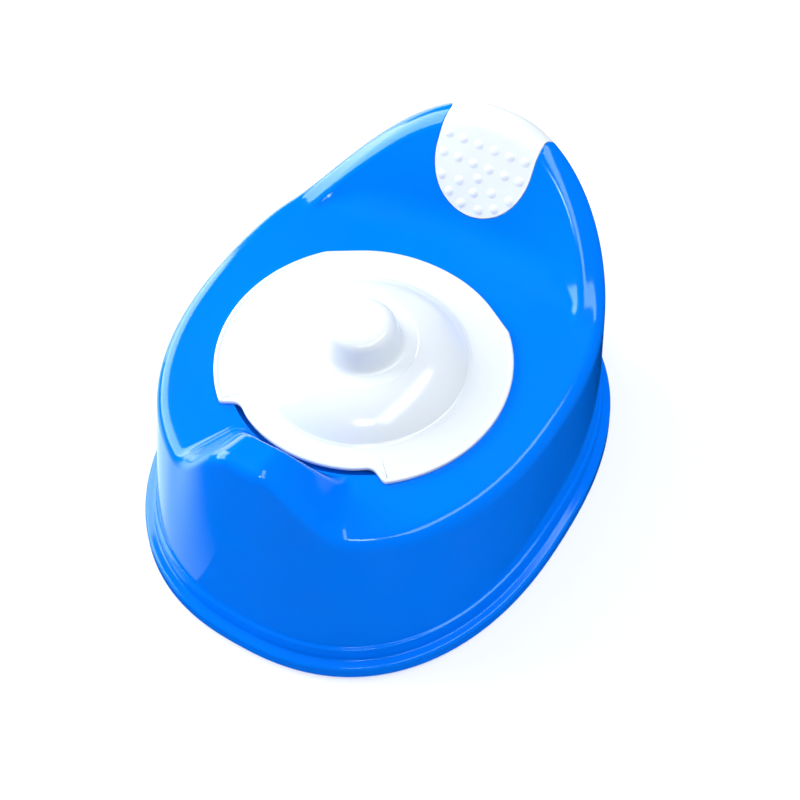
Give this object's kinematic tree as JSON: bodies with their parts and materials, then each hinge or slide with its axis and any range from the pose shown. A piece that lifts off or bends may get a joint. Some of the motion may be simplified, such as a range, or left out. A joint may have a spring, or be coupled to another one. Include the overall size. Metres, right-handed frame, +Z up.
{
  "type": "potty training chair",
  "caption": "One-piece child's potty chair with splash guard and backrest, a removable pot, a round lid with a knob and a textured back grip.",
  "frame": {"origin": "on the floor, at the centre of the base's bounding box", "axes": "+Z up, -Y towards the splash guard at the front, +Y towards the backrest, +X to the right when the chair is seen from the front"},
  "size_m": [0.3034, 0.3804, 0.1975],
  "materials": {
    "shell_plastic": "glossy",
    "lid_plastic": "glossy",
    "grip_plastic": "satin",
    "pot_plastic": "glossy",
    "foot_rubber": "matte"
  },
  "bodies": {
    "chair": {"chair_shell": "shell_plastic", "back_grip": "grip_plastic", "foot_front_left": "foot_rubber", "foot_front_right": "foot_rubber", "foot_rear_left": "foot_rubber", "foot_rear_right": "foot_rubber"},
    "pot": {"pot": "pot_plastic"},
    "lid": {"lid": "lid_plastic"}
  },
  "joints": [
    {"name": "pot_lift", "type": "slide", "parent": "chair", "child": "pot", "axis": [0, 0, 1], "range_m": [0, 0.2]},
    {"name": "lid_lift", "type": "slide", "parent": "pot", "child": "lid", "axis": [0, 0, 1], "range_m": [0, 0.15]}
  ]
}
